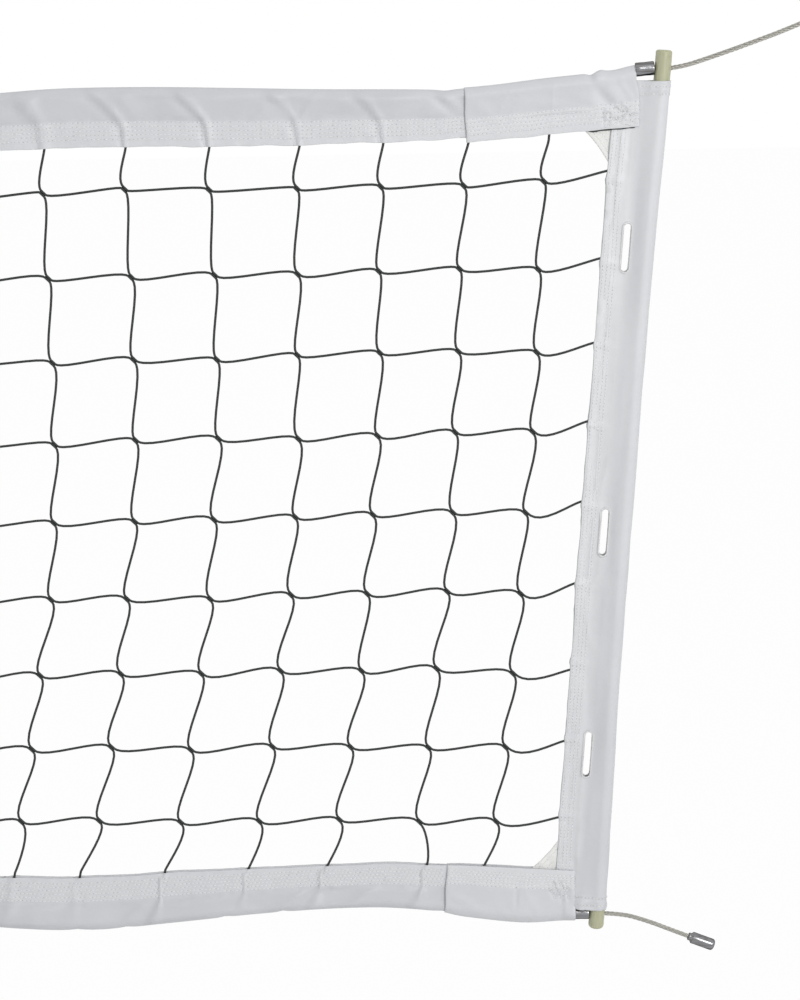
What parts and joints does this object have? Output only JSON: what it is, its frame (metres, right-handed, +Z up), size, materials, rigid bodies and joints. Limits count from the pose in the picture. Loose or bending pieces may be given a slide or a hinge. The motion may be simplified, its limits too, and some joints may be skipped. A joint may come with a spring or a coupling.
{
  "type": "volleyball net",
  "caption": "Full-width volleyball net with folded hem tapes, cable tails, upright end rods in slotted side bands and square mesh.",
  "frame": {"origin": "half way along the net, on the straight line between the rods' top holes, where the top cable carries it", "axes": "+X along the net to its right-hand end seen from the front, +Y from the front through the net to the back, +Z up"},
  "size_m": [10.137, 0.0212, 1.1536],
  "materials": {
    "white_vinyl": "satin vinyl-coated cloth",
    "gusset_cloth": "matt coated cloth",
    "net_cord": "knotless braided cord",
    "wire_rope": "stranded galvanised wire rope",
    "swaged_steel": "bright swaged sleeve",
    "fibreglass": "pultruded, slightly translucent"
  },
  "bodies": {
    "top_cable_ends": {"top_stops": "swaged_steel", "top_end_stops": "swaged_steel", "top_tail_right": "wire_rope", "top_tail_left": "wire_rope"},
    "net": {"top_cable": "wire_rope", "bottom_cable": "wire_rope", "bottom_stops": "swaged_steel", "bottom_end_stops": "swaged_steel", "top_tape": "white_vinyl", "bottom_tape": "white_vinyl", "mesh_rows": "net_cord", "mesh_columns": "net_cord", "rod_right": "fibreglass", "side_band_right": "white_vinyl", "top_patch_right": "white_vinyl", "bottom_patch_right": "white_vinyl", "top_gusset_right": "gusset_cloth", "bottom_gusset_right": "gusset_cloth", "bottom_tail_right": "wire_rope", "rod_left": "fibreglass", "side_band_left": "white_vinyl", "top_patch_left": "white_vinyl", "bottom_patch_left": "white_vinyl", "top_gusset_left": "gusset_cloth", "bottom_gusset_left": "gusset_cloth", "bottom_tail_left": "wire_rope"}
  },
  "joints": [
    {"name": "net_swing", "type": "hinge", "parent": "top_cable_ends", "child": "net", "pos_m": [0, 0, 0], "axis": [1, 0, 0], "range_deg": [-90, 90]}
  ]
}
